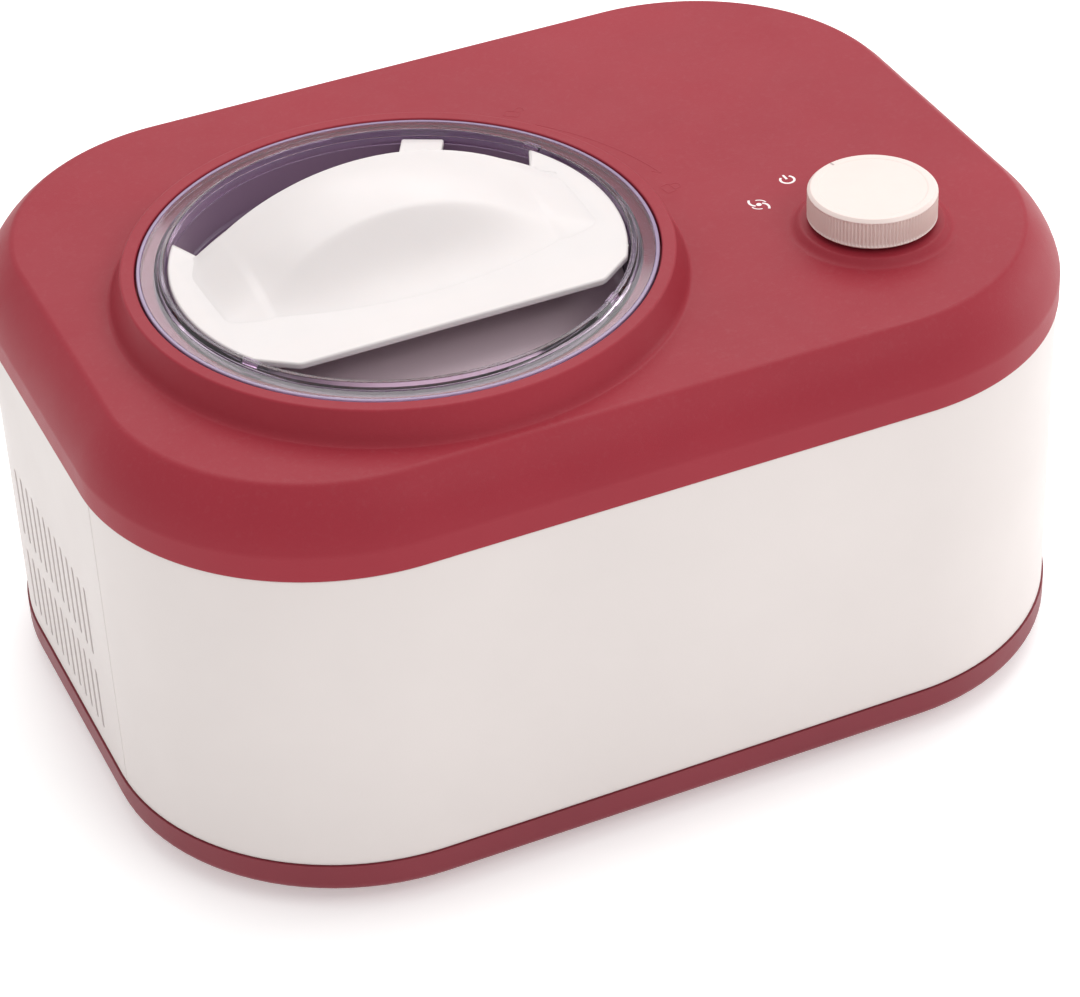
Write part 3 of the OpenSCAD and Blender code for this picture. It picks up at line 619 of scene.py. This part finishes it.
def grip_line(x):
    """One section of the grip from front to back: scooped front, rounded crest, steep back."""
    end_x, scoop_r, base = 79, 38, PLATE_Z - 0.3
    y_end = grip_back(min(abs(x), GRIP_HALF))
    ys = np.linspace(-scoop_r, y_end, 100)
    towards_front = np.clip((GRIP_BACK_Y - ys) / 16, 0, 1)
    widen = towards_front ** 2 * (3 - 2 * towards_front)
    bend = 1 - (x / (GRIP_HALF + 6 * widen)) ** 2
    arch = (GRIP_TOP - PLATE_Z) * np.copysign(np.abs(bend) ** (0.84 + 0.3 * widen), bend)
    crown = PLATE_Z + arch - (ys - 20) ** 2 / 160.0 * np.clip(arch / 9 + 0.1, 0.1, 1)
    crown = soft_max(crown, PLATE_Z - 0.15, 9.0 * min(1.0, max(0.04, (end_x - abs(x)) / 18)))
    lift = np.minimum(ys + scoop_r, scoop_r - 0.5)
    scoop = PLATE_Z + scoop_r - np.sqrt(scoop_r ** 2 - lift ** 2) + np.maximum(ys + 0.5, 0) * 5
    top = np.maximum(soft_min(scoop, crown, 8.0), base)
    rise = max(float(top[-1]) - base, 0.02)
    r = min(3.2, 0.5 * rise)
    z_end = float(np.interp(y_end - r, ys, top))
    line = [(y, z) for y, z in zip(ys, top) if y < y_end - r]
    line += [(y_end - r + r * math.sin(a), z_end - r + r * math.cos(a))
             for a in np.linspace(0, math.pi / 2, 9)]
    line += [(y_end, base + (z_end - r - base) * f) for f in (0.75, 0.5, 0.25, 0.0)]
    line_y, line_z = np.array(line).T
    lengths = np.concatenate([[0], np.cumsum(np.hypot(np.diff(line_y), np.diff(line_z)))])
    turn_at = lengths[-1] - (r * 1.6 + rise)
    marks = np.concatenate([np.linspace(0, turn_at, 60, endpoint=False),
                            np.linspace(turn_at, lengths[-1], 32)])
    return [(WELL[0] + x, WELL[1] + y, z)
            for y, z in zip(np.interp(marks, lengths, line_y), np.interp(marks, lengths, line_z))]


def back_wall():
    """The wall that hangs below the grip's back edge."""
    xs = np.linspace(-60, 60, 61)
    outline = [(x, grip_back(x) - 0.12) for x in xs] + [(x, grip_back(x) - 3.1) for x in xs[::-1]]
    return prism(placed(outline, WELL), 188.2, PLATE_Z - 0.2, 0.7)


def lid_handle():
    """Plate, arched grip, back wall, rear tab and two legs down to the window, with a raised arrow."""
    plate = prism(placed(plate_outline(), WELL), PLATE_Z - 3, PLATE_Z, 1.0)
    grip = loft([grip_line(x) for x in np.linspace(-79, 79, 199)], closed=False)
    tab = fillet([(-8.5, 24), (8.5, 24), (8.5, 86.9), (-8.5, 86.9)], 1.0, closed=True)
    tab_plate = prism(placed(tab, WELL, -29), 196.7, 199.7, 0.7)
    leg = fillet([(-4, -30), (4, -30), (4, 20), (-4, 20)], 2, closed=True)
    legs = [prism(placed(leg, (WELL[0] + x, WELL[1])), DISH_Z + 0.05, PLATE_Z - 1, 0.4) for x in (-64, 64)]
    bridge = joined(plate, grip, back_wall(), tab_plate, *legs)
    make_mesh("handle_bridge", bridge, GLOSS, "lid", ["lid_handle"], sharp=50)
    arrow = placed(fillet([(-3, -2.4), (3.2, 0), (-3, 2.4)], 0.3, 3, closed=True),
                   (WELL[0] + 74.5, WELL[1] + 24), -20)
    make_mesh("handle_arrow", stroke(arrow, 0.6, PLATE_Z, 0.12, closed=True), GLOSS, "lid")


# ---- knob ----

def knob():
    """A ribbed dial with a dished top and a pointer line coloured with painted groove shade, on a boss of
    the red cover.
    """
    ribs, wave = 108, [0.0, 0.22, 0.62, 0.78, 0.62, 0.22]
    n = ribs * len(wave)
    rib_lo, rib_hi, fade_in = 194.5, 205.1, 0.7
    section = fillet([(6, KNOB_FOOT_Z), (24.4, KNOB_FOOT_Z), (KNOB_R, 194.4), (KNOB_R, 205.2),
                      (23.9, KNOB_TOP_Z), (21.5, KNOB_TOP_Z), (20.9, 206.2), (0, 206.05)],
                     [0, 0.4, 0.4, 0.8, 0.7, 0.5, 0.5, 0], 5)
    profile = []
    for p, q in zip(section, section[1:]):
        profile.append(p)
        if abs(p[0] - KNOB_R) < 0.01 and abs(q[0] - KNOB_R) < 0.01:
            profile += [(KNOB_R, p[1] + (q[1] - p[1]) * f) for f in (0.05, 0.1, 0.3, 0.5, 0.7, 0.9, 0.95)]
    profile.append(section[-1])
    rings = []
    for r, z in profile:
        r = max(float(r), 0.0005)
        depth = min(1.0, max(0.0, (z - rib_lo) / fade_in)) * min(1.0, max(0.0, (rib_hi - z) / fade_in))
        depth = depth if r > KNOB_R - 0.3 else 0.0
        ring = []
        for i in range(n):
            a, ribbed_r = 2 * math.pi * i / n, r - wave[i % len(wave)] * depth
            ring.append((KNOB[0] + ribbed_r * math.cos(a), KNOB[1] + ribbed_r * math.sin(a), z))
        rings.append(ring)
    make_mesh("dial_knob", loft(rings), KNOB_MAT, "knob", ["control_knob"], sharp=60)
    aim = math.atan2(46.0, -12.0)
    line = [(KNOB[0] + r * math.cos(aim), KNOB[1] + r * math.sin(aim)) for r in np.linspace(21.9, 23.6, 5)]
    # The pointer line takes the painted groove shade colour.
    make_mesh("dial_pointer", stroke(line, 0.9, KNOB_TOP_Z, 0.12), POINTER_GROOVE_SHADE, "knob")
    boss_z = 191.95
    boss = fillet([(36, DECK_Z - 0.05), (31.2, DECK_Z), (28.2, boss_z - 0.05), (20, boss_z), (6.6, boss_z),
                   (6.6, DECK_Z - 1)], [0, 4.5, 2.2, 0, 0.3, 0], 8)
    make_mesh("knob_boss", turned(boss, KNOB), RED, "housing", ["top_cover"])


# ---- marks on the deck ----

def printed_marks(z):
    """Power and churn marks by the knob."""
    width = 0.95
    upright = placed([(0, y) for y in np.linspace(0.3, 3.7, 6)], POWER_MARK)
    power = joined(stroke(arc(POWER_MARK, 2.8, 130, 410, 36), width, z, MARK_RISE),
                   stroke(upright, width, z, MARK_RISE))
    make_mesh("mark_power", power, PRINT, "housing", weld=False)
    churn = [prism(arc(CHURN_MARK, 1.1, 0, 345, 23), z - 0.03, z + MARK_RISE, 0.05)]
    for half_turn in (0, 180):
        reach, turn = 1.6 + 3.4 * np.linspace(0, 1, 16), np.radians(190 - 74 * np.linspace(0, 1, 16))
        arm = placed(zip(reach * np.cos(turn), reach * np.sin(turn)), CHURN_MARK, half_turn)
        churn.append(stroke(arm, width, z, MARK_RISE))
        churn.append(stroke(arc(CHURN_MARK, 3.3, half_turn + 10, half_turn + 88, 16), 0.6, z, MARK_RISE))
    make_mesh("mark_churn", joined(*churn), PRINT, "housing", weld=False)


def lock_marks(z):
    """Raised open and closed padlocks beside the collar, and the arrow from one towards the other."""
    width, rise, arc_r, tip = 0.7, 0.11, 124.5, 11
    raised = []
    body = fillet([(-3, -4), (3, -4), (3, 0), (-3, 0)], 0.5, 3, closed=True)
    for where, open_by, turn in (((33.0, 76.0), 2.2, -38.0), ((64.5, -8.0), 0.0, -80.0)):
        shackle = [(-1.9, 0)] + arc((0, 1.6), 1.9, 180, 0, 14) + ([] if open_by else [(1.9, 0)])
        shackle = [(x + open_by, y) for x, y in shackle]
        raised.append(stroke(placed(body, where, turn), width, z, rise, closed=True))
        raised.append(stroke(placed(shackle, where, turn), width, z, rise))
    raised.append(stroke(arc(WELL, arc_r, 41, tip, 60), width, z, rise))
    ex, ey = placed([(arc_r, 0)], WELL, tip)[0]
    barb = [(ex - 2.6 + 0.4 * i, ey + 3.0 - 0.5 * i) for i in range(7)]
    raised.append(stroke(barb, width, z, rise))
    make_mesh("mark_lock_arc", joined(*raised), RED, "housing", weld=False)


# ---- feet and base details ----

def feet():
    """Four rubber feet with a hollow underside."""
    section = fillet([(0, 8.2), (12, 8.2), (12, 6.5), (10.4, 0.35), (8.4, 0.02), (7.4, 0.9), (0, 0.9)],
                     [0, 0, 0.6, 0.5, 0.4, 0.5, 0], 4)
    for i, (sx, sy) in enumerate(((-1, -1), (1, -1), (-1, 1), (1, 1))):
        make_mesh(f"foot_{i}", turned(section, (sx * 140, sy * 95), 96), RUBBER, "housing",
                  ["rubber_feet"])


def edge_dots():
    """Three small moulded dots on the base band by the right front corner."""
    dot_z, pitch, pull_in = 15.2, 3.4, 0.9992
    turns = [2 * math.pi * i / 20 for i in range(20)]
    parts = []
    for k in range(3):
        s = PERIMETER - HALF_Y - 46 + pitch * k
        (x, y), (inner_x, inner_y) = plan(s), plan(s, 1.0)
        ox, oy = x - inner_x, y - inner_y
        parts.append(loft([[((x + ox * depth - oy * r * math.cos(a)) * pull_in,
                             (y + oy * depth + ox * r * math.cos(a)) * pull_in, dot_z + r * math.sin(a))
                            for a in turns]
                           for depth, r in ((-0.1, 0.75), (0.12, 0.72), (0.24, 0.5), (0.28, 0.02))]))
    make_mesh("base_dots", joined(*parts), RED_BASE, "housing")


top_cover()
walls()
clear_lid()
lid_handle()
knob()
printed_marks(DECK_Z - 0.02)
lock_marks(DECK_Z - 0.02)
feet()
edge_dots()
for name in ("top_cover", "front_panel", "left_vent_panel", "right_vent_panel", "rear_panel", "rubber_feet",
             "clear_lid", "lid_handle", "control_knob"):
    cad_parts[name].hide_render = True
    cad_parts[name].hide_viewport = True


# ---- floor, light and camera ----

def area(name, where, target, size, power, colour=(1, 1, 1)):
    """A rectangular lamp aimed at a target."""
    data = bpy.data.lights.new(name, "AREA")
    data.shape = "RECTANGLE"
    data.size, data.size_y = size
    data.energy = power
    data.color = colour
    lamp = bpy.data.objects.new(name, data)
    lamp.location = where
    lamp.rotation_mode = "QUATERNION"
    lamp.rotation_quaternion = (Vector(target) - Vector(where)).to_track_quat("-Z", "Y")
    bpy.context.scene.collection.objects.link(lamp)


def floor():
    """A white floor just under the feet, which glows a little so that it stays white."""
    half, z = 6.0, -0.0003
    corners = [(-half, -half, z), (half, -half, z), (half, half, z), (-half, half, z)]
    me = bpy.data.meshes.new("floor")
    me.from_pydata(corners, [], [(0, 1, 2, 3)])
    white = surface("floor_white", (0.93, 0.93, 0.93), 0.75, 0.008, 0.03, 300, 0.00002, 2.0)
    glow = next(n for n in white.node_tree.nodes if n.type == "BSDF_PRINCIPLED")
    set_inputs(glow, {"Emission Color": (1, 1, 1, 1), "Emission Strength": 0.32})
    me.materials.append(white)
    obj = bpy.data.objects.new("floor", me)
    bpy.context.scene.collection.objects.link(obj)


def studio():
    """Even white surroundings and three soft lamps."""
    world = bpy.data.worlds.new("studio")
    world.use_nodes = True
    background = next(n for n in world.node_tree.nodes if n.type == "BACKGROUND")
    set_inputs(background, {"Color": (1.0, 0.995, 0.99, 1), "Strength": 0.78})
    bpy.context.scene.world = world
    area("key", (0.65, 0.85, 1.9), (0.0, 0.0, 0.15), (2.2, 1.8), 28.0, (1.0, 0.99, 0.98))
    area("fill", (0.75, -1.45, 1.7), (0.0, 0.0, 0.12), (1.1, 0.5), 6.0)
    area("side", (1.7, -0.15, 0.42), (0.0, 0.0, 0.12), (0.8, 0.6), 4.0)


def camera():
    """A long lens that looks down over the front left corner, rolled a little."""
    az, el, roll = math.radians(-22.78), math.radians(36.2), math.radians(-2.74)
    target, distance = Vector((-0.02087, -0.06144, 0.100)), 1.3717
    back = Vector((math.sin(az) * math.cos(el), -math.cos(az) * math.cos(el), math.sin(el)))
    level = (-back).cross(Vector((0, 0, 1))).normalized()
    above = level.cross(-back)
    right = math.cos(roll) * level + math.sin(roll) * above
    up = -math.sin(roll) * level + math.cos(roll) * above
    eye = target + back * distance
    data = bpy.data.cameras.new("camera")
    data.lens, data.sensor_width = 117.0, 36.0
    data.clip_start, data.clip_end = 0.05, 50.0
    obj = bpy.data.objects.new("camera", data)
    obj.matrix_world = Matrix((
        (right.x, up.x, back.x, eye.x), (right.y, up.y, back.y, eye.y), (right.z, up.z, back.z, eye.z),
        (0, 0, 0, 1)))
    bpy.context.scene.collection.objects.link(obj)
    bpy.context.scene.camera = obj


floor()
studio()
camera()
bpy.context.scene.view_settings.view_transform = "Standard"
